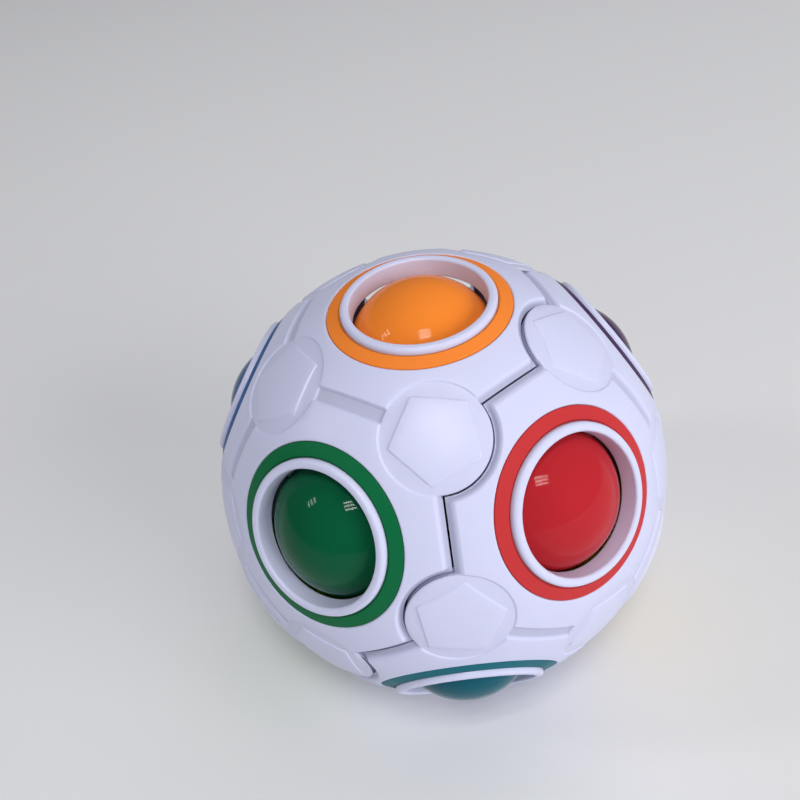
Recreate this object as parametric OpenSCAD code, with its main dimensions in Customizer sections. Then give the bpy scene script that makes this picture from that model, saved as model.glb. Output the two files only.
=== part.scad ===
// Rainbow ball puzzle: a hollow white sphere with twelve ringed holes, laid out like the
// corners of an icosahedron, and eleven coloured balls that sit in them. One hole is empty.
// A ball beside the empty hole is pressed in onto the loose core ball and rolls across.
// The sphere stands on the lip of its lowest hole, with +Z up and the origin under its centre.

/* [Sphere] */
// Outside diameter of the white sphere
body_d = 70; // [68:0.5:72]
// Thickness of the moulded wall
wall = 2.4; // [2.2:0.1:2.6]
// Gap between the two halves along the seam
seam_gap = 0.14; // [0.1:0.02:0.2]

/* [Holes] */
// Radius of the bore at its inner edge, where the ball seats
bore_r = 9.5; // [9.3:0.05:9.6]
// Outside radius of the raised white lip
lip_r = 11; // [10.9:0.05:11.1]
// How far the lip's top lies inside the sphere's radius, measured along the hole
lip_drop = 1.1; // [0.9:0.05:1.3]
// Depth of the bore from the lip's top to the inner edge
bore_depth = 2.95; // [2.85:0.05:3.05]

/* [Balls] */
// Diameter of the coloured balls
ball_d = 22.2; // [21.8:0.1:22.4]
// Clearance left round a ball that rolls under the wall
roll_gap = 0.25; // [0.2:0.05:0.4]
// Clearance between a pressed ball and the core
core_gap = 0.2; // [0.1:0.05:0.3]

/* [Rings] */
// Outside radius of the groove that holds a coloured ring
groove_r = 13.1; // [13:0.05:13.2]
// Radial play of a ring in its groove
ring_play = 0.06; // [0.04:0.01:0.1]
// How far a ring's face lies under the sphere's surface
ring_sink = 0.12; // [0.05:0.01:0.2]

/* [Badges and channels] */
// Radius of the round badge on each corner between three holes
badge_r = 7.4; // [7.2:0.1:7.6]
// Corner radius of the raised pentagon on a badge
pentagon_r = 6.5; // [6.2:0.1:6.8]
// Depth of the badge round its pentagon
badge_sink = 0.25; // [0.2:0.01:0.3]
// Depth of the channels that join the badges
channel_sink = 0.45; // [0.35:0.05:0.6]
// Width of the channels that join the badges
channel_w = 2.2; // [1.8:0.1:2.6]

/* [Hidden] */
$fn = 96;

// Colour name and display colour of each hole's ring: the top, five round the upper row
// from the front left, five round the lower row from the front, and the bottom
HOLES = [
    ["orange", [0.98, 0.52, 0.16]], ["green", [0.06, 0.42, 0.22]],
    ["red", [0.80, 0.18, 0.18]], ["purple", [0.28, 0.12, 0.34]],
    ["white", [0.93, 0.93, 0.95]], ["blue", [0.12, 0.33, 0.62]],
    ["teal", [0.05, 0.45, 0.52]], ["yellow", [0.97, 0.85, 0.18]],
    ["pink", [0.90, 0.22, 0.52]], ["black", [0.06, 0.06, 0.07]],
    ["lime", [0.55, 0.78, 0.20]], ["brown", [0.36, 0.20, 0.11]]
];
HOLE_TOP = 0;
HOLE_EMPTY = 4;
HOLE_AXIS_LEFT = 5;
HOLE_PRESSED = 9;
HOLE_BOTTOM = 11;
SHELL_COLOR = [0.93, 0.93, 0.96];
CORE_COLOR = [0.85, 0.85, 0.87];

// Directions: each row of holes leans by the angle whose tangent is one half
row_lean = 90 - atan(0.5);
row_step = 72;
upper_start = -126;
lower_start = -90;

// Angles from the axis that joins the halves to the corners between three holes, and to
// the middles of the channels that join the corners
CORNER_POLAR = [37.377, 79.188, 100.812];
CHANNEL_POLAR = [31.717, 58.283, 90];
// Which way the badge's pentagon points on each circle of corners: away from the channel
// that runs along a meridian
CORNER_SPIN = [180, 0, 180];
seam_tilt = 58.283;
channel_l = 11.6;

// The sphere
sphere_r = body_d / 2;
inner_r = sphere_r - wall;
lip_top = sphere_r - lip_drop;
seat_h = lip_top - bore_depth;
outside = sphere_r + 3;
past = 0.5;

// Under each corner of the seam one half has a ledge, and the other's badge laps over it
ledge_r = 8.6;
ledge_h = sphere_r - 4;
ledge_top = sphere_r - 1.7;
lap_h = sphere_r - 2.1;
lap_gap = 0.06;
badge_foot = sphere_r - 1.7;

// The lip's section and the groove
bore_flare = 0.2;
lip_round = 0.35;
groove_floor = sphere_r - 3.4;
pad_r = groove_r - 0.9;
bore_run = 2;
ring_arc_steps = 6;

// The balls: seated in the bore, or pressed in onto the core
ball_r = ball_d / 2;
seat_clear = 0.23;
ball_out = seat_h - sqrt(ball_r * ball_r - bore_r * bore_r) - seat_clear;
rim_dist = sqrt(bore_r * bore_r + seat_h * seat_h);
ball_in = rim_dist - ball_r - roll_gap;
core_r = ball_in - ball_r - core_gap;
upper_drop = 0.3;
top_drop = 0.6;
rest_clear = 0.1;
ball_flush = lip_top - ball_r - rest_clear;

// Turns local +Z, at the sphere's centre, towards a hole
module at_hole(i) {
    is_pole = i == HOLE_TOP || i == HOLE_BOTTOM;
    lean = i <= HOLE_AXIS_LEFT ? row_lean : 180 - row_lean;
    polar = i == HOLE_TOP ? 0 : i == HOLE_BOTTOM ? 180 : lean;
    azimuth = is_pole ? 0
        : i <= HOLE_AXIS_LEFT ? upper_start + row_step * (i - 1)
        : lower_start + row_step * (i - HOLE_AXIS_LEFT - 1);
    translate([0, 0, lip_top]) rotate([0, polar, azimuth]) children();
}

// The modules from here to shell_half() work in a half's own frame: the sphere's centre
// is its origin and its +Z is the axis that joins the halves

// Turns +Z towards one hole of the half, the middle one or one of five round it
module at_half_hole(k) {
    if (k == 0) children();
    else rotate([0, row_lean, row_step * k - 36]) children();
}

// Turns +Z towards a corner between three holes, and +X the way its pentagon points
module at_corner(circle, k) {
    azimuth = row_step * k + (circle == 2 ? 36 : 0);
    rotate([0, CORNER_POLAR[circle], azimuth])
        rotate([0, 0, CORNER_SPIN[circle]]) children();
}

// One badge's sunk area: a disc with a pentagon left standing. Its edge lies in the gap
// round a badge that laps over the seam.
module badge_cut() {
    difference() {
        translate([0, 0, badge_foot])
            cylinder(r = badge_r + seam_gap / 2, h = outside - badge_foot);
        translate([0, 0, badge_foot - past]) cylinder(r = pentagon_r, h = outside, $fn = 5);
        rotate([0, 0, 18]) sphere(r = sphere_r - badge_sink);
    }
}

// One straight channel that runs along the meridian, then is turned about its middle
module channel_cut(polar, azimuth, turn) {
    rotate([0, polar, azimuth]) rotate([0, 0, turn])
        translate([-channel_l / 2, -channel_w / 2, badge_foot])
            cube([channel_l, channel_w, outside - badge_foot]);
}

// The half's channels, and its side of those that hold the seam
module channel_cuts() {
    difference() {
        for (k = [0:4]) {
            channel_cut(CHANNEL_POLAR[0], 36 + row_step * k, 90);
            channel_cut(CHANNEL_POLAR[1], row_step * k, 0);
            channel_cut(CHANNEL_POLAR[2], 18 + row_step * k, seam_tilt);
            channel_cut(CHANNEL_POLAR[2], 54 + row_step * k, -seam_tilt);
        }
        sphere(r = sphere_r - channel_sink);
    }
}

// What is turned away at one hole: the bore, all that is above the lip, and the ring groove
module hole_cut() {
    top_in = bore_r + bore_flare;
    rotate_extrude()
        polygon([
            [0, seat_h - bore_run], [bore_r, seat_h - bore_run], [bore_r, seat_h],
            [top_in, lip_top - lip_round], [top_in + lip_round, lip_top],
            [lip_r - lip_round, lip_top], [lip_r, lip_top - lip_round],
            [lip_r, groove_floor], [groove_r, groove_floor],
            [groove_r, outside], [0, outside]
        ]);
}

// Round cap over one seam corner, above the lap: it belongs whole to one half
module corner_cap(circle, k, radius, foot) {
    at_corner(circle, k) translate([0, 0, foot]) cylinder(r = radius, h = outside - foot);
}

// All that lies on the half's side of the zigzag seam
module seam_side() {
    far = 2 * outside;
    zigzag = [for (k = [0:9]) let (p = CORNER_POLAR[k % 2 == 0 ? 1 : 2])
        far * [sin(p) * cos(36 * k), sin(p) * sin(36 * k), cos(p)]];
    translate([0, 0, seam_gap / 2])
        polyhedron(
            points = concat([[0, 0, 0], [0, 0, 1.6 * far]], zigzag),
            faces = concat(
                [for (k = [0:9]) [0, 2 + k, 2 + (k + 1) % 10]],
                [for (k = [0:9]) [1, 2 + (k + 1) % 10, 2 + k]]
            )
        );
}

// The hollow wall with its ledges, trimmed to the half's side of the seam
module half_wall() {
    difference() {
        intersection() {
            union() {
                difference() {
                    sphere(r = sphere_r);
                    sphere(r = inner_r);
                }
                for (circle = [1, 2], k = [0:4])
                    at_corner(circle, k) translate([0, 0, ledge_h])
                        cylinder(r = ledge_r, h = ledge_top - ledge_h);
            }
            union() {
                seam_side();
                for (k = [0:4]) corner_cap(1, k, badge_r, lap_h + lap_gap);
            }
        }
        for (k = [0:4]) corner_cap(2, k, badge_r + seam_gap, lap_h);
    }
}

// One moulded half of the shell, with six holes. Both halves are this same moulding.
module shell_half() {
    difference() {
        union() {
            half_wall();
            // blanks for the lips, which also thicken the wall inside round each bore
            for (k = [0:5])
                at_half_hole(k) translate([0, 0, seat_h])
                    cylinder(r = pad_r, h = lip_top - seat_h + past);
        }
        for (k = [0:5]) at_half_hole(k) hole_cut();
        for (circle = [0:2], k = [0:4]) at_corner(circle, k) badge_cut();
        channel_cuts();
    }
}

// Half of the shell whose middle hole is the blue one
module shell_half_left() {
    color(SHELL_COLOR) at_hole(HOLE_AXIS_LEFT) shell_half();
}

// The other half: the same moulding, turned over about the middle of one seam channel
module shell_half_right() {
    color(SHELL_COLOR) at_hole(HOLE_AXIS_LEFT)
        rotate(a = 180, v = [cos(18), sin(18), 0]) shell_half();
}

// Coloured ring pressed into the groove round a lip. Its face follows the sphere.
module ring(i) {
    inside_r = lip_r + ring_play;
    outside_r = groove_r - ring_play;
    face_r = sphere_r - ring_sink;
    step = (outside_r - inside_r) / ring_arc_steps;
    color(HOLES[i][1]) at_hole(i)
        rotate_extrude()
            polygon(concat(
                [[inside_r, groove_floor], [outside_r, groove_floor]],
                [for (n = [0:ring_arc_steps]) let (x = outside_r - step * n)
                    [x, sqrt(face_r * face_r - x * x)]]
            ));
}

// How far from the sphere's centre a hole's ball rests: a ball in the upper rows has
// dropped a little from its seat, and the one underneath is pressed flush by the table
function rest_distance(i) =
    i == HOLE_PRESSED ? ball_in
    : i == HOLE_BOTTOM ? ball_flush
    : i == HOLE_TOP ? ball_out - top_drop
    : i <= HOLE_AXIS_LEFT ? ball_out - upper_drop
    : ball_out;

// Coloured ball in its hole
module ball(i) {
    color(HOLES[i][1])
        at_hole(i) translate([0, 0, rest_distance(i)]) sphere(r = ball_r);
}

// Loose ball in the middle, which keeps the others out in their holes
module core_ball() {
    color(CORE_COLOR) translate([0, 0, lip_top]) sphere(r = core_r);
}

shell_half_left();
shell_half_right();
core_ball();
for (i = [HOLE_TOP:HOLE_BOTTOM])
    ring(i);
for (i = [HOLE_TOP:HOLE_BOTTOM])
    if (i != HOLE_EMPTY)
        ball(i);
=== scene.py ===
"""Rainbow ball puzzle: detailed shell halves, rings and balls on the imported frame.

Lengths are in millimetres until a mesh is made, when they are turned into metres.
Angles are in degrees.
"""

import math
import random

import bpy
import numpy as np
from mathutils import Matrix, Vector
from mathutils.geometry import delaunay_2d_cdt


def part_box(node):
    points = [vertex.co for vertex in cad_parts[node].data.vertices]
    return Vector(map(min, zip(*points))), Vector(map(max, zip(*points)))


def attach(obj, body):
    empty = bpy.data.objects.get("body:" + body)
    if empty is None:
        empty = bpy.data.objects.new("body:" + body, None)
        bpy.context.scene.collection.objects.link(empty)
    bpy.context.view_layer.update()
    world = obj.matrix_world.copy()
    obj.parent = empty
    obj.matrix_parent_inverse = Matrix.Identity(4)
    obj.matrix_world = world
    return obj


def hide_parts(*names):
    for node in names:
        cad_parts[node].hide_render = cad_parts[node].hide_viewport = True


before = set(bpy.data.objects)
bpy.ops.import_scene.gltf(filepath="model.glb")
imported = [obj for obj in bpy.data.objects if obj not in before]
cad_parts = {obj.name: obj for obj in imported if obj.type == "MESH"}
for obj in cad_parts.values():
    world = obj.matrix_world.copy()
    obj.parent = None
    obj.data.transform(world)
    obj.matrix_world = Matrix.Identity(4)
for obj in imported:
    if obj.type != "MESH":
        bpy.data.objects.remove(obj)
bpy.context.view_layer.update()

MM = 0.001
fill_rng = random.Random(7)
# with this seed no ball shows its parting ridge where the camera sees a window's reflection
ball_rng = random.Random(2384)

# ---------------------------------------------------------------- sizes, as in the CAD source
SPHERE_R = 35.0
INNER_R = 32.6
LIP_TOP = 33.9
SEAT_H = 30.95
BORE_R = 9.5
LIP_R = 11.0
GROOVE_R = 13.1
GROOVE_FLOOR = 31.6
RING_PLAY = 0.06
RING_FACE_R = 34.88
BADGE_R = 7.4
PENTAGON_R = 6.5
CENTRE = np.array([0.0, 0.0, LIP_TOP])

HOLES = [
    "orange", "green", "red", "purple", "white", "blue",
    "teal", "yellow", "pink", "black", "lime", "brown",
]
HOLE_TOP = 0
HOLE_AXIS_LEFT = 5
HOLE_BOTTOM = 11
EMPTY = "white"
ROW_LEAN = 90 - math.degrees(math.atan(0.5))
ROW_STEP = 72
UPPER_START = -126
LOWER_START = -90

# angles of the icosahedron's layout, as seen from the sphere's centre
GOLDEN = (1 + math.sqrt(5)) / 2
CORNER_TO_HOLE = math.degrees(math.atan(2 / GOLDEN ** 2))
CORNER_TO_MID = math.degrees(math.atan(1 / GOLDEN ** 2))
HOLE_TO_MID = math.degrees(math.atan(1 / GOLDEN))
# direction, in a half's own frame, of the channel middle that the half is turned over about
TURN_OVER = (90, 18)

# ---------------------------------------------------------------- the soft moulded forms
# the seam reads wider than its gap, with the small radius on both moulded edges
SEAM_GAP = 0.28
SEAM_DEPTH = 0.95
SEAM_RAMP = (SEAM_GAP / 2, 1.5)
PLAIN_DEPTH = 0.52
PLAIN_RAMP = (0.72, 1.28)
DISC_DEPTH = 0.25
DISC_RAMP = (7.22, 7.56)
PENTAGON_RAMP = 0.34
PENTAGON_TURN = 60
CAP_GAP_R = BADGE_R + SEAM_GAP
CAP_RAMP = (CAP_GAP_R, CAP_GAP_R + 0.95)
GROOVE_ROUND = 0.25
LIP_ROUND_OUT = 0.66
LIP_ROUND_IN = 0.4
BORE_FLARE = 0.18
SEAT_ROUND = 0.25
RING_ROUND = 0.16
GATE_R = 0.7
GATE_RAMP = 0.12
GATE_SINK = 0.05
RIDGE = 0.007
RIDGE_RAMP = 0.16
BALL_LEAN = 0.3

# ---------------------------------------------------------------- how finely they are meshed
RIM_ANGLE = math.degrees(math.asin(GROOVE_R / (SPHERE_R - GROOVE_ROUND)))
HOLE_STEPS = 24
DISC_STEPS = 96
CHANNEL_STEPS = 7
EDGE_STEPS = 5
PENTAGON_STEPS = 8
RING_STEPS = 120
BALL_STEPS = 96
SEAM_LINES = [SEAM_GAP / 2, 0.33, 0.6, 0.9, 1.2, 1.5]
PLAIN_LINES = [0.0, PLAIN_RAMP[0], 0.9, 1.1, PLAIN_RAMP[1]]
DISC_LINE_GAP = 0.1
CAP_LINE_GAP = 0.07
# first and last angle, and steps, of the arcs round a seam disc on either side of the seam
OWNER_ARC = (121.2, 358.8, 64)
OTHER_ARC = (0.25, 119.75, 36)
FILL_STEP = 1.05
FILL_JITTER = 0.08
FILL_REACH = 26
FILL_RIM_GAP = 1.0
FILL_LINE_GAP = 0.45
FINE = 1e-6


# ---------------------------------------------------------------- small maths
def smooth(a, b, x):
    """0 before a, 1 after b, and a soft step between them."""
    s = min(max((x - a) / (b - a), 0.0), 1.0)
    return s * s * (3 - 2 * s)


def unit(v):
    return v / np.linalg.norm(v)


def cos_sin(angle):
    a = math.radians(angle)
    return math.cos(a), math.sin(a)


def polar(angle, azimuth):
    """Unit vector that leans by angle from +Z towards azimuth."""
    (ca, sa), (cb, sb) = cos_sin(angle), cos_sin(azimuth)
    return np.array([sa * cb, sa * sb, ca])


def angle_between(a, b):
    return math.degrees(math.acos(min(1.0, a @ b)))


def turn_z(angle):
    c, s = cos_sin(angle)
    return np.array([[c, -s, 0.0], [s, c, 0.0], [0.0, 0.0, 1.0]])


def turn_y(angle):
    c, s = cos_sin(angle)
    return np.array([[c, 0.0, s], [0.0, 1.0, 0.0], [-s, 0.0, c]])


def half_turn(axis):
    return 2 * np.outer(axis, axis) - np.eye(3)


def hole_turn(i):
    """Rotation that takes +Z to the axis of hole i."""
    if i == HOLE_TOP:
        return np.eye(3)
    if i == HOLE_BOTTOM:
        return turn_y(180)
    if i <= HOLE_AXIS_LEFT:
        return turn_z(UPPER_START + ROW_STEP * (i - 1)) @ turn_y(ROW_LEAN)
    azimuth = LOWER_START + ROW_STEP * (i - HOLE_AXIS_LEFT - 1)
    return turn_z(azimuth) @ turn_y(180 - ROW_LEAN)


def both_sides(steps):
    """Distances on both sides of a middle line."""
    return sorted({-t for t in steps} | set(steps))


# ---------------------------------------------------------------- mesh store
class Store:
    """Vertices that weld where they meet, and faces with a normal at each corner."""

    def __init__(self):
        self.verts, self.index, self.value = [], {}, []
        self.faces, self.normals = [], []

    def vert(self, p, value=0.0):
        key = tuple(np.floor(p * 1e4 + 0.5).astype(int))
        if key not in self.index:
            self.index[key] = len(self.verts)
            self.verts.append(p)
            self.value.append(value)
        return self.index[key]

    def face(self, points, normals, values=None):
        ids = [self.vert(p, v) for p, v in zip(points, values or [0.0] * len(points))]
        keep = [n for n in range(len(ids)) if ids[n] != ids[n - 1]]
        if len(keep) < 3:
            return
        self.faces.append([ids[n] for n in keep])
        self.normals.append([normals[n] for n in keep])

    def flat(self, points):
        n = unit(np.cross(points[1] - points[0], points[2] - points[0]))
        self.face(points, [n] * len(points))

    def edges(self):
        """Each face's edges, in the direction in which the face runs along them."""
        return dict.fromkeys(
            pair for face in self.faces for pair in zip(face, face[1:] + face[:1])
        )

    def make(self, name, turn, offset):
        """A Blender object from the store, turned and then moved."""
        mesh = bpy.data.meshes.new(name)
        verts = (np.array(self.verts) @ turn.T + offset) * MM
        mesh.from_pydata(verts.tolist(), [], self.faces)
        mesh.polygons.foreach_set("use_smooth", [True] * len(mesh.polygons))
        loops = np.array([n for corner in self.normals for n in corner]) @ turn.T
        loops /= np.linalg.norm(loops, axis=1)[:, None]
        mesh.normals_split_custom_set(loops.tolist())
        # depth under the sphere, which the material turns into painted shade in the hollows
        recess = mesh.attributes.new("recess", "FLOAT", "POINT")
        recess.data.foreach_set("value", self.value)
        obj = bpy.data.objects.new(name, mesh)
        bpy.context.scene.collection.objects.link(obj)
        return obj


def line(start, end):
    """Section points (r, h, normal r, normal h) of a straight run, its outside on the right."""
    (r0, h0), (r1, h1) = start, end
    length = math.hypot(r1 - r0, h1 - h0)
    n = ((h1 - h0) / length, -(r1 - r0) / length)
    return [(r0, h0, *n), (r1, h1, *n)]


def arc(middle, radius, first, last, steps):
    """Section points of an arc whose normals point away from its middle."""
    out = []
    for k in range(steps + 1):
        c, s = cos_sin(first + (last - first) * k / steps)
        out.append((middle[0] + radius * c, middle[1] + radius * s, c, s))
    return out


def revolve(store, turn, section, steps):
    """Sweeps a section round the local Z axis, and turns the result."""
    spokes = [cos_sin(360.0 * k / steps) for k in range(steps)]
    rows = []
    for r, h, nr, nh in section:
        points = [turn @ np.array([r * c, r * s, h]) for c, s in spokes]
        normals = [turn @ np.array([nr * c, nr * s, nh]) for c, s in spokes]
        rows.append((points, normals))
    for (p0, n0), (p1, n1) in zip(rows, rows[1:]):
        if np.linalg.norm(p0[0] - p1[0]) < FINE:
            continue
        for k in range(steps):
            m = (k + 1) % steps
            store.face([p0[k], p0[m], p1[m], p1[k]], [n0[k], n0[m], n1[m], n1[k]])


# ---------------------------------------------------------------- the shell's surface
# A patch is what lies round one corner, out to the middles of its three channels. In its own
# frame +Z is the corner and +X a channel. The holes lie at 60, 180 and 300 degrees, the
# channels at 0, 120 and 240, and the pentagon points at the first hole. On a seam patch the
# first two channels hold the seam, and the sector between them is the other half's.
HOLE_DIRS = [polar(CORNER_TO_HOLE, a) for a in (60, 180, 300)]
CHANNEL_AZ = (0, 120, 240)
ALONG = [np.array([*cos_sin(a), 0.0]) for a in CHANNEL_AZ]
ACROSS = [np.array([-s, c, 0.0]) for c, s, _ in ALONG]
BEYOND = [unit(np.cross(w, polar(CORNER_TO_MID, a))) for w, a in zip(ACROSS, CHANNEL_AZ)]
PENTAGON_EDGES = [polar(90, PENTAGON_TURN + 36 + 72 * k) for k in range(5)]
PENTAGON_COS = math.cos(math.radians(36))
PENTAGON_IN = PENTAGON_R * PENTAGON_COS


def seam_profile(t):
    """Depth of the soft V along the seam, at a distance t from its middle."""
    a, b = SEAM_RAMP
    s = min(max((t - a) / (b - a), 0.0), 1.0)
    return SEAM_DEPTH * (0.6 * (1 - smooth(0, 1, s)) + 0.4 * (1 - s) ** 2)


def plain_profile(t):
    """Depth of a channel without the seam, at a distance t from its middle."""
    return PLAIN_DEPTH * (1 - smooth(*PLAIN_RAMP, t))


def merge(depths):
    """Smooth union of hollows."""
    left = 1.0
    for d in depths:
        left *= 1 - d / SEAM_DEPTH
    return SEAM_DEPTH * (1 - left)


def sector_side(p):
    """How far a point is inside the other half's sector; negative outside it."""
    s0 = p @ ACROSS[0]
    s1 = -(p @ ACROSS[1])
    if p @ ALONG[0] > 0 and p @ ALONG[1] > 0:
        return min(s0, s1)
    return s0 if p @ ALONG[0] > p @ ALONG[1] else s1


def depth(d, group):
    """How far the surface lies under the sphere in direction d, in one group of a patch."""
    p = d * SPHERE_R
    r = math.hypot(p[0], p[1])
    hollows = []
    for n in range(3):
        if p @ ALONG[n] > 0:
            shape = seam_profile if group != "plain" and n < 2 else plain_profile
            hollows.append(shape(abs(p @ ACROSS[n])))
    if group == "other":
        hollows.append(SEAM_DEPTH * (1 - smooth(*CAP_RAMP, r)))
        out = merge(hollows)
    else:
        base = merge(hollows)
        if group == "owner" and r <= BADGE_R + 0.01 and sector_side(p) > 0:
            base = SEAM_DEPTH
        inside = 1 - smooth(*DISC_RAMP, r)
        edge = min(PENTAGON_IN - p @ n for n in PENTAGON_EDGES)
        disc = DISC_DEPTH * (1 - smooth(0, PENTAGON_RAMP, edge))
        out = base + (disc - base) * inside
    for h in HOLE_DIRS:
        x = 1 - math.radians(angle_between(d, h) - RIM_ANGLE) * SPHERE_R / GROOVE_ROUND
        if x > 0:
            out += GROOVE_ROUND * (1 - math.sqrt(max(0.0, 1 - min(x, 1.0) ** 2)))
    return out


def surface_normal(d, group):
    """Outward normal of the sunk surface, from four samples close by."""
    side = unit(np.cross(d, [0.3, 0.5, 0.8]))
    up = np.cross(d, side)
    step = 0.03 / SPHERE_R

    def at(q):
        q = unit(q)
        return q * (SPHERE_R - depth(q, group))

    n = np.cross(at(d + side * step) - at(d - side * step), at(d + up * step) - at(d - up * step))
    return unit(n) if n @ d > 0 else -unit(n)


# ---------------------------------------------------------------- the lines of a patch
class Sketch:
    """Directions, and the lines between them that the triangles follow."""

    def __init__(self):
        self.dirs, self.lines = [], []

    def add(self, points, closed=False):
        first = len(self.dirs)
        self.dirs.extend(points)
        count = len(points)
        self.lines.extend((first + k, first + k + 1) for k in range(count - 1))
        if closed:
            self.lines.append((first + count - 1, first))

    def add_circle(self, r, first=0, last=360, steps=DISC_STEPS):
        """An arc of radius r round the corner, or the whole circle."""
        closed = last - first == 360
        lean = math.degrees(math.asin(r / SPHERE_R))
        count = steps if closed else steps + 1
        self.add([polar(lean, first + (last - first) * k / steps) for k in range(count)], closed)


def rim_angles():
    """Angles from a hole's axis of the lines that round the groove's edge, inwards."""
    return [
        RIM_ANGLE + math.degrees(GROOVE_ROUND * (1 - x) / SPHERE_R) for x in (0, 0.45, 0.8, 1)
    ]


def on_channel(n, angle, t):
    """Direction at an angle from the corner along channel n, t to one side of its middle."""
    s = t / SPHERE_R
    along = polar(angle, CHANNEL_AZ[n])
    return along * math.sqrt(1 - s * s) + ACROSS[n] * s


def patch_edge(n, seam):
    """Points over the middle of channel n, from one hole's groove to the next one's."""
    near = SEAM_LINES if seam else PLAIN_LINES
    rim = [SPHERE_R * math.sin(math.radians(HOLE_TO_MID - a)) for a in rim_angles()]
    start, end = near[-1], rim[0]
    middle = [start + (end - start) * k / EDGE_STEPS for k in range(1, EDGE_STEPS)]
    return [on_channel(n, CORNER_TO_MID, t) for t in both_sides(near + middle + rim)]


def draw_outline(sketch, seam):
    """The patch's edge, anticlockwise, and the lines along the grooves' rounded edges."""
    loop = []
    for n, hole in enumerate(HOLE_DIRS):
        toward = unit(np.cross(np.cross(hole, [0.0, 0.0, 1.0]), hole))
        side = np.cross(hole, toward)
        rows = []
        for angle in rim_angles():
            c, s = cos_sin(angle)
            spokes = [cos_sin(-36 + 72 * k / HOLE_STEPS) for k in range(HOLE_STEPS + 1)]
            rows.append([hole * c + (toward * ca + side * sa) * s for ca, sa in spokes])
        for row in rows[:-1]:
            sketch.add(row)
        groove = rows[-1][::-1]
        m = (n + 1) % 3
        loop += (groove[1:] if loop else groove) + patch_edge(m, seam and m < 2)[1:]
    sketch.add(loop[:-1], closed=True)


def draw_channels(sketch, seam):
    """Lines along each channel, from the patch's edge to just short of the disc."""
    for n in range(3):
        is_seam = seam and n < 2
        for t in both_sides(SEAM_LINES if is_seam else PLAIN_LINES):
            is_other = is_seam and (t > 0 if n == 0 else t < 0)
            stop_r = CAP_GAP_R - CAP_LINE_GAP if is_other else DISC_RAMP[0] - DISC_LINE_GAP
            s2 = (stop_r ** 2 - t * t) / (1 - (t / SPHERE_R) ** 2)
            stop = math.degrees(math.asin(math.sqrt(s2) / SPHERE_R))
            sketch.add([
                on_channel(n, CORNER_TO_MID + (stop - CORNER_TO_MID) * k / CHANNEL_STEPS, t)
                for k in range(CHANNEL_STEPS + 1)
            ])


def draw_disc(sketch, seam):
    """Circles round the badge, and on a seam patch the gap and the hollow round it."""
    for r in (DISC_RAMP[0], DISC_RAMP[0] + DISC_LINE_GAP, BADGE_R):
        sketch.add_circle(r)
    if seam:
        sketch.add_circle(DISC_RAMP[1], *OWNER_ARC)
        for r in [CAP_GAP_R + 0.25 * k for k in range(4)] + [CAP_RAMP[1]]:
            sketch.add_circle(r, *OTHER_ARC)
    else:
        sketch.add_circle(DISC_RAMP[1])


def draw_pentagon(sketch):
    """The raised pentagon's outline, and two lines inside it where its edge rounds over."""
    for inset in (0.0, PENTAGON_RAMP / 2, PENTAGON_RAMP):
        r = PENTAGON_R - inset / PENTAGON_COS
        corners = [polar(90, PENTAGON_TURN + 72 * k) * r for k in range(5)]
        loop = []
        for a, b in zip(corners, corners[1:] + corners[:1]):
            loop += [a + (b - a) * k / PENTAGON_STEPS for k in range(PENTAGON_STEPS)]
        heights = [math.sqrt(SPHERE_R ** 2 - p[0] ** 2 - p[1] ** 2) for p in loop]
        sketch.add([unit(np.array([p[0], p[1], h])) for p, h in zip(loop, heights)], closed=True)


def to_plane(d):
    return d[:2] / d[2] * SPHERE_R


def fill(sketch):
    """Scatters points between the lines, in rows with a little jitter."""
    fixed = np.array([to_plane(d) for d in sketch.dirs])
    count = int(SPHERE_R * math.tan(math.radians(FILL_REACH)) / FILL_STEP) + 1
    for i in range(-count, count + 1):
        for j in range(-count, count + 1):
            q = np.array([(i + 0.5 * (j % 2)) * FILL_STEP, j * FILL_STEP * 0.866])
            q += [fill_rng.uniform(-FILL_JITTER, FILL_JITTER) for _ in range(2)]
            d = unit(np.array([*q, SPHERE_R]))
            if any(angle_between(d, h) < RIM_ANGLE + FILL_RIM_GAP for h in HOLE_DIRS):
                continue
            if np.min(np.sum((fixed - q) ** 2, axis=1)) < (FILL_LINE_GAP * FILL_STEP) ** 2:
                continue
            sketch.dirs.append(d)


def group_of(mid, seam):
    """The group that a triangle belongs to, or None in a hole, past the edge or in a gap."""
    if any(mid @ o > 1e-9 for o in BEYOND):
        return None
    if any(angle_between(mid, h) < RIM_ANGLE - 0.002 for h in HOLE_DIRS):
        return None
    if not seam:
        return "plain"
    p = mid * SPHERE_R
    r = math.hypot(p[0], p[1])
    side = sector_side(p)
    if r < BADGE_R + 0.02 or side < -SEAM_GAP / 2:
        return "owner"
    if side > SEAM_GAP / 2 and r > CAP_GAP_R - 0.03:
        return "other"
    return None


def patch(seam):
    """Triangulates one patch. Returns its directions and, for each group, its triangles."""
    sketch = Sketch()
    draw_outline(sketch, seam)
    draw_channels(sketch, seam)
    draw_disc(sketch, seam)
    draw_pentagon(sketch)
    fill(sketch)
    flat = [Vector(to_plane(d)) for d in sketch.dirs]
    points, _, faces, sources, _, _ = delaunay_2d_cdt(flat, sketch.lines, [], 0, 1e-5)
    dirs = [
        sketch.dirs[source[0]] if source else unit(np.array([*p, SPHERE_R]))
        for p, source in zip(points, sources)
    ]
    groups = {"plain": [], "owner": [], "other": []}
    for face in faces:
        for k in range(1, len(face) - 1):
            tri = [face[0], face[k], face[k + 1]]
            a, b, c = (dirs[i] for i in tri)
            mid = unit(a + b + c)
            group = group_of(mid, seam)
            if group is None:
                continue
            if np.cross(b - a, c - a) @ mid < 0:
                tri.reverse()
            groups[group].append(tri)
    return dirs, groups


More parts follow.
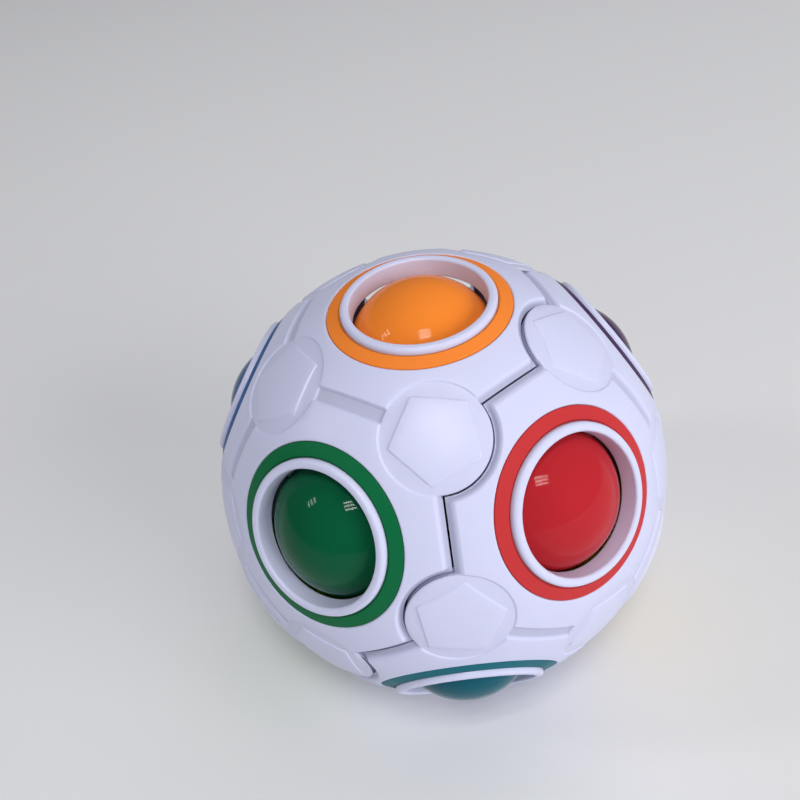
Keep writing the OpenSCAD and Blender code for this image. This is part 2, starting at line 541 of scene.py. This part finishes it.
# ---------------------------------------------------------------- one half of the shell
def lay(store, dirs, tris, group, turn):
    """Adds one group of a patch to the store, outside and inside."""
    outer, inner, normal, value = {}, {}, {}, {}
    for i in sorted({i for t in tris for i in t}):
        d = depth(dirs[i], group)
        outer[i] = turn @ (dirs[i] * (SPHERE_R - d))
        inner[i] = turn @ (dirs[i] * INNER_R)
        normal[i] = turn @ surface_normal(dirs[i], group)
        value[i] = d / SEAM_DEPTH
    for t in tris:
        store.face([outer[i] for i in t], [normal[i] for i in t], [value[i] for i in t])
        back = t[::-1]
        store.face([inner[i] for i in back], [-inner[i] / INNER_R for i in back])


def hole_section():
    """Section of a hole, from the groove's edge over the lip and down the bore to the inside."""
    c, s = cos_sin(RIM_ANGLE)
    rim_out = ((SPHERE_R - GROOVE_ROUND) * s, (SPHERE_R - GROOVE_ROUND) * c)
    rim_in = (INNER_R * s, INNER_R * c)
    pad_edge = math.sqrt(INNER_R ** 2 - SEAT_H ** 2) + 0.1
    top = BORE_R + BORE_FLARE
    crown_out, crown_in = LIP_R - LIP_ROUND_OUT, top + LIP_ROUND_IN
    return (
        line(rim_out, (GROOVE_R, GROOVE_FLOOR))
        + line((GROOVE_R, GROOVE_FLOOR), (LIP_R, GROOVE_FLOOR))
        + line((LIP_R, GROOVE_FLOOR), (LIP_R, LIP_TOP - LIP_ROUND_OUT))
        + arc((crown_out, LIP_TOP - LIP_ROUND_OUT), LIP_ROUND_OUT, 0, 90, 8)
        + line((crown_out, LIP_TOP), (crown_in, LIP_TOP))
        + arc((crown_in, LIP_TOP - LIP_ROUND_IN), LIP_ROUND_IN, 90, 180, 6)
        + line((top, LIP_TOP - LIP_ROUND_IN), (BORE_R, SEAT_H + SEAT_ROUND))
        + arc((BORE_R + SEAT_ROUND, SEAT_H + SEAT_ROUND), SEAT_ROUND, 180, 270, 4)
        + line((BORE_R + SEAT_ROUND, SEAT_H), (pad_edge, SEAT_H))
        + line((pad_edge, SEAT_H), rim_in)
    )


def half_store():
    """One half of the shell in its own frame: +Z is the axis that joins the halves."""
    store = Store()
    plain_dirs, plain = patch(seam=False)
    seam_dirs, cut = patch(seam=True)
    seam_lean = CORNER_TO_HOLE + 2 * CORNER_TO_MID
    for k in range(5):
        lay(store, plain_dirs, plain["plain"], "plain",
            turn_z(72 * k) @ turn_y(CORNER_TO_HOLE) @ turn_z(120))
        lay(store, seam_dirs, cut["owner"], "owner",
            turn_z(72 * k) @ turn_y(seam_lean) @ turn_z(-60))
        lay(store, seam_dirs, cut["other"], "other",
            turn_z(72 * k + 36) @ turn_y(180 - seam_lean) @ turn_z(120))
    section = hole_section()
    for k in range(6):
        turn = np.eye(3) if k == 0 else turn_z(72 * k - 36) @ turn_y(ROW_LEAN)
        revolve(store, turn, section, 5 * HOLE_STEPS)

    # walls down the seam, where the outside ends
    edges = store.edges()
    for a, b in [(a, b) for a, b in edges if (b, a) not in edges]:
        pa, pb = store.verts[a], store.verts[b]
        if np.linalg.norm(pa) > INNER_R + 0.5:
            store.flat([pb, pa, unit(pa) * INNER_R, unit(pb) * INNER_R])
    return store


# ---------------------------------------------------------------- materials
def shade(rgb, factor):
    """An sRGB colour as a linear one, made lighter or darker."""
    lin = [c / 12.92 if c <= 0.04045 else ((c + 0.055) / 1.055) ** 2.4 for c in rgb]
    return (*(min(1.0, c * factor) for c in lin), 1.0)


def plastic(name, rgb, roughness, spread, mottle, grain, gloss, recess=0.0):
    """Moulded plastic: colour mottle, roughness from handling, and a fine moulded grain.

    recess is how far the floors of hollows are darkened with painted shade.
    """
    mat = bpy.data.materials.new(name)
    mat.use_nodes = True
    nodes, links = mat.node_tree.nodes, mat.node_tree.links
    bsdf = nodes["Principled BSDF"]
    bsdf.inputs["IOR"].default_value = 1.42
    bsdf.inputs["Specular IOR Level"].default_value = gloss
    place = nodes.new("ShaderNodeTexCoord")

    def noise(scale, detail):
        tex = nodes.new("ShaderNodeTexNoise")
        tex.inputs["Scale"].default_value = scale
        tex.inputs["Detail"].default_value = detail
        links.new(place.outputs["Object"], tex.inputs["Vector"])
        return tex.outputs["Fac"]

    tint = nodes.new("ShaderNodeMix")
    tint.data_type = "RGBA"
    tint.inputs["A"].default_value = shade(rgb, 1 - mottle)
    tint.inputs["B"].default_value = shade(rgb, 1 + mottle)
    links.new(noise(90, 3), tint.inputs["Factor"])
    colour = tint.outputs["Result"]
    # painted shade: the floors of the hollows are darkened by their depth, read from the mesh's
    # recess attribute
    if recess:
        sunk = nodes.new("ShaderNodeAttribute")
        sunk.attribute_name = "recess"
        amount = nodes.new("ShaderNodeMapRange")
        amount.inputs["From Min"].default_value = 0.2
        amount.inputs["From Max"].default_value = 0.62
        amount.inputs["To Max"].default_value = recess
        links.new(sunk.outputs["Fac"], amount.inputs["Value"])
        painted_recess_shade = nodes.new("ShaderNodeMix")
        painted_recess_shade.data_type = "RGBA"
        painted_recess_shade.inputs["B"].default_value = shade(rgb, 0.62)
        links.new(amount.outputs["Result"], painted_recess_shade.inputs["Factor"])
        links.new(colour, painted_recess_shade.inputs["A"])
        colour = painted_recess_shade.outputs["Result"]
    links.new(colour, bsdf.inputs["Base Color"])

    rough = nodes.new("ShaderNodeMapRange")
    rough.inputs["From Min"].default_value = 0.3
    rough.inputs["From Max"].default_value = 0.7
    rough.inputs["To Min"].default_value = roughness - spread
    rough.inputs["To Max"].default_value = roughness + spread
    links.new(noise(260, 5), rough.inputs["Value"])
    links.new(rough.outputs["Result"], bsdf.inputs["Roughness"])

    bump = nodes.new("ShaderNodeBump")
    bump.inputs["Strength"].default_value = grain
    bump.inputs["Distance"].default_value = 0.00002
    links.new(noise(3200, 2), bump.inputs["Height"])
    links.new(bump.outputs["Normal"], bsdf.inputs["Normal"])
    return mat


def wear(obj, mat):
    obj.data.materials.clear()
    obj.data.materials.append(mat)


# recess sets the strength of the painted shade in the shell's channels and round its discs
SHELL_FINISH = dict(roughness=0.36, spread=0.05, mottle=0.012, grain=0.25, gloss=0.5, recess=0.7)
RING_FINISH = dict(roughness=0.42, spread=0.05, mottle=0.02, grain=0.2, gloss=0.1)
BALL_FINISH = dict(roughness=0.07, spread=0.025, mottle=0.03, grain=0.04, gloss=0.15)
CORE_FINISH = dict(roughness=0.3, spread=0.05, mottle=0.02, grain=0.15, gloss=0.4)
FLOOR_FINISH = dict(roughness=0.6, spread=0.05, mottle=0.006, grain=0.1, gloss=0.3)

RING_RGB = {
    "orange": (0.99, 0.55, 0.22), "green": (0.07, 0.43, 0.26), "red": (0.79, 0.23, 0.24),
    "purple": (0.24, 0.09, 0.31), "white": (0.86, 0.87, 0.94), "blue": (0.14, 0.36, 0.60),
    "teal": (0.05, 0.42, 0.48), "yellow": (0.97, 0.84, 0.16), "pink": (0.90, 0.22, 0.52),
    "black": (0.06, 0.06, 0.07), "lime": (0.55, 0.78, 0.20), "brown": (0.36, 0.20, 0.11),
}
BALL_RGB = {
    "orange": (0.99, 0.55, 0.20), "green": (0.03, 0.35, 0.22), "red": (0.74, 0.16, 0.19),
    "purple": (0.22, 0.05, 0.28), "blue": (0.09, 0.31, 0.53),
    "teal": (0.01, 0.36, 0.43), "yellow": (0.96, 0.82, 0.12), "pink": (0.88, 0.16, 0.48),
    "black": (0.04, 0.04, 0.05), "lime": (0.50, 0.75, 0.16), "brown": (0.33, 0.17, 0.09),
}
SHELL_RGB = (0.85, 0.86, 0.975)
CORE_RGB = (0.84, 0.84, 0.87)
FLOOR_RGB = (0.93, 0.93, 0.94)


def finish_piece(piece, mat, body, node):
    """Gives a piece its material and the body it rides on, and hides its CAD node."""
    wear(piece, mat)
    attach(piece, body)
    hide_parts(node)


# ---------------------------------------------------------------- the shell
shell_mat = plastic("shell_plastic", SHELL_RGB, **SHELL_FINISH)
half = half_store()
to_left = hole_turn(HOLE_AXIS_LEFT)
to_right = to_left @ half_turn(polar(*TURN_OVER))
for side, turn in (("left", to_left), ("right", to_right)):
    piece = half.make(f"moulded_shell_{side}", turn, CENTRE)
    finish_piece(piece, shell_mat, "shell", f"shell_half_{side}")


# ---------------------------------------------------------------- rings
def face_height(r):
    return math.sqrt(RING_FACE_R ** 2 - r * r)


def ring_section():
    """Section of a coloured ring: its face follows the sphere and its top corners are round."""
    a, b = LIP_R + RING_PLAY, GROOVE_R - RING_PLAY
    crown_a, crown_b = a + RING_ROUND, b - RING_ROUND
    lean_a, lean_b = (90 - math.degrees(math.asin(r / RING_FACE_R)) for r in (crown_a, crown_b))
    out = line((b, GROOVE_FLOOR), (b, face_height(b) - RING_ROUND))
    out += arc((crown_b, face_height(crown_b) - RING_ROUND), RING_ROUND, 0, lean_b, 4)
    count = 8
    for k in range(count + 1):
        r = crown_b + (a - b + 2 * RING_ROUND) * k / count
        out.append((r, face_height(r), r / RING_FACE_R, face_height(r) / RING_FACE_R))
    out += arc((crown_a, face_height(crown_a) - RING_ROUND), RING_ROUND, lean_a, 180, 5)
    out += line((a, face_height(a) - RING_ROUND), (a, GROOVE_FLOOR))
    out += line((a, GROOVE_FLOOR), (b, GROOVE_FLOOR))
    return out


for i, name in enumerate(HOLES):
    store = Store()
    revolve(store, hole_turn(i), ring_section(), RING_STEPS)
    piece = store.make(f"moulded_ring_{name}", np.eye(3), CENTRE)
    ring_mat = plastic(f"ring_{name}_plastic", RING_RGB[name], **RING_FINISH)
    finish_piece(piece, ring_mat, "shell", f"ring_{name}")


# ---------------------------------------------------------------- balls
def ball_section(radius):
    """Section of a moulded ball, from pole to pole: a sunk gate mark on one pole and a fine
    parting ridge round the middle."""
    angles = [0.0, 1.5, 2.6, 3.2, 3.6, 3.9, 4.3]
    angles += [4.3 + (88.6 - 4.3) * k / 26 for k in range(1, 27)]
    angles += [89.0, 89.4, 89.7, 90.0, 90.3, 90.6, 91.0]
    angles += [91.4 + (180 - 91.4) * k / 27 for k in range(28)]

    def point(angle):
        c, s = cos_sin(angle)
        r = radius
        if angle < 90:
            r -= GATE_SINK * (1 - smooth(GATE_R - GATE_RAMP, GATE_R, radius * s))
        off = radius * math.radians(abs(angle - 90))
        r += RIDGE * (1 - smooth(0, RIDGE_RAMP, off)) - RIDGE
        return r * s, r * c

    out = []
    for angle in reversed(angles):
        (r0, h0), (r1, h1) = point(angle - 0.2), point(angle + 0.2)
        n = unit(np.array([h0 - h1, r1 - r0]))
        r, h = point(angle)
        is_pole = angle in (0.0, 180.0)
        out.append((0.0 if is_pole else r, h, 0.0 if is_pole else n[0], n[1]))
    return out


def moulded_ball(name, node, body, slot, mat):
    """A ball in its CAD node's place, lying any way round."""
    low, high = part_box(node)
    centre = np.array([(a + b) / 2 for a, b in zip(low, high)]) / MM
    radius = (high[0] - low[0]) / 2 / MM
    lean = math.degrees(math.acos(ball_rng.uniform(-BALL_LEAN, BALL_LEAN)))
    turn = turn_z(ball_rng.uniform(0, 360)) @ turn_y(lean)
    store = Store()
    revolve(store, turn, ball_section(radius), BALL_STEPS)
    finish_piece(store.make(name, np.eye(3), centre), mat, body, node)


for name in HOLES:
    if name != EMPTY:
        ball_mat = plastic(f"ball_{name}_plastic", BALL_RGB[name], **BALL_FINISH)
        moulded_ball(f"moulded_ball_{name}", *[f"ball_{name}"] * 3, ball_mat)
core_mat = plastic("core_plastic_mat", CORE_RGB, **CORE_FINISH)
moulded_ball("moulded_core", "core_ball", "core", "core_plastic", core_mat)

# ---------------------------------------------------------------- floor, light and camera
FLOOR_HALF = 1.5  # metres
corners = [(x * FLOOR_HALF, y * FLOOR_HALF, 0) for x, y in ((-1, -1), (1, -1), (1, 1), (-1, 1))]
floor_mesh = bpy.data.meshes.new("floor")
floor_mesh.from_pydata(corners, [], [(0, 1, 2, 3)])
floor = bpy.data.objects.new("floor", floor_mesh)
bpy.context.scene.collection.objects.link(floor)
wear(floor, plastic("floor_paint", FLOOR_RGB, **FLOOR_FINISH))

world = bpy.data.worlds.new("studio")
world.use_nodes = True
background = world.node_tree.nodes["Background"]
background.inputs["Color"].default_value = (0.93, 0.95, 1.0, 1.0)
background.inputs["Strength"].default_value = 0.16
bpy.context.scene.world = world

# the lights' sizes and distances are in metres
target = Vector((0, 0, LIP_TOP * MM))
WINDOW_DISTANCE = 1.2
STRIP_PITCH = 0.1
STRIP_HEIGHT = 0.05


def softbox(name, offset, size, power):
    """A light at an offset from the sphere's centre, facing it."""
    light = bpy.data.lights.new(name, "AREA")
    light.shape = "RECTANGLE"
    light.size, light.size_y = size
    light.energy = power
    obj = bpy.data.objects.new(name, light)
    bpy.context.scene.collection.objects.link(obj)
    obj.location = target + offset
    obj.rotation_euler = (target - obj.location).to_track_quat("-Z", "Y").to_euler()
    return obj


# two large lights, which would show as plain squares in the glossy balls
for name, direction, distance, size, power in (
    ("key", (0.80, -0.66, 0.34), 1.2, 0.8, 8.0),
    ("top", (0.35, 0.25, 1.0), 1.0, 0.7, 1.5),
):
    large = softbox(name, Vector(direction).normalized() * distance, (size, size), power)
    large.visible_glossy = False

# two windows of three level strips, far enough off to look small in the balls
for name, direction, width, power in (
    ("window_over", (0.048, -0.421, 0.906), 0.36, 1.7),
    ("window_left", (-0.767, -0.027, 0.641), 0.16, 0.45),
):
    middle = Vector(direction).normalized()
    level = middle.cross(Vector((0, 0, 1))).normalized()
    upward = level.cross(middle).normalized()
    for k in range(3):
        offset = middle * WINDOW_DISTANCE + upward * (STRIP_PITCH * (k - 1))
        softbox(f"{name}_{k}", offset, (width, STRIP_HEIGHT), power)

bpy.context.scene.view_settings.view_transform = "Standard"

# the camera's place from the sphere's centre, and its roll, from a perspective fit
VIEW_RIGHT = Vector((0.990, -0.058, -0.127))
VIEW_DOWN = Vector((-0.133, -0.665, -0.735))
VIEW_PLACE = Vector((0.033, -3.018, 3.151)) * SPHERE_R * MM
cam_data = bpy.data.cameras.new("camera")
cam_data.sensor_width = 36.0
cam_data.lens = 42.37
camera = bpy.data.objects.new("camera", cam_data)
bpy.context.scene.collection.objects.link(camera)
right = VIEW_RIGHT.normalized()
up = -(VIEW_DOWN - right * VIEW_DOWN.dot(right)).normalized()
place = Matrix((right, up, right.cross(up))).transposed().to_4x4()
place.translation = target + VIEW_PLACE
camera.matrix_world = place
bpy.context.scene.camera = camera

bpy.context.view_layer.update()
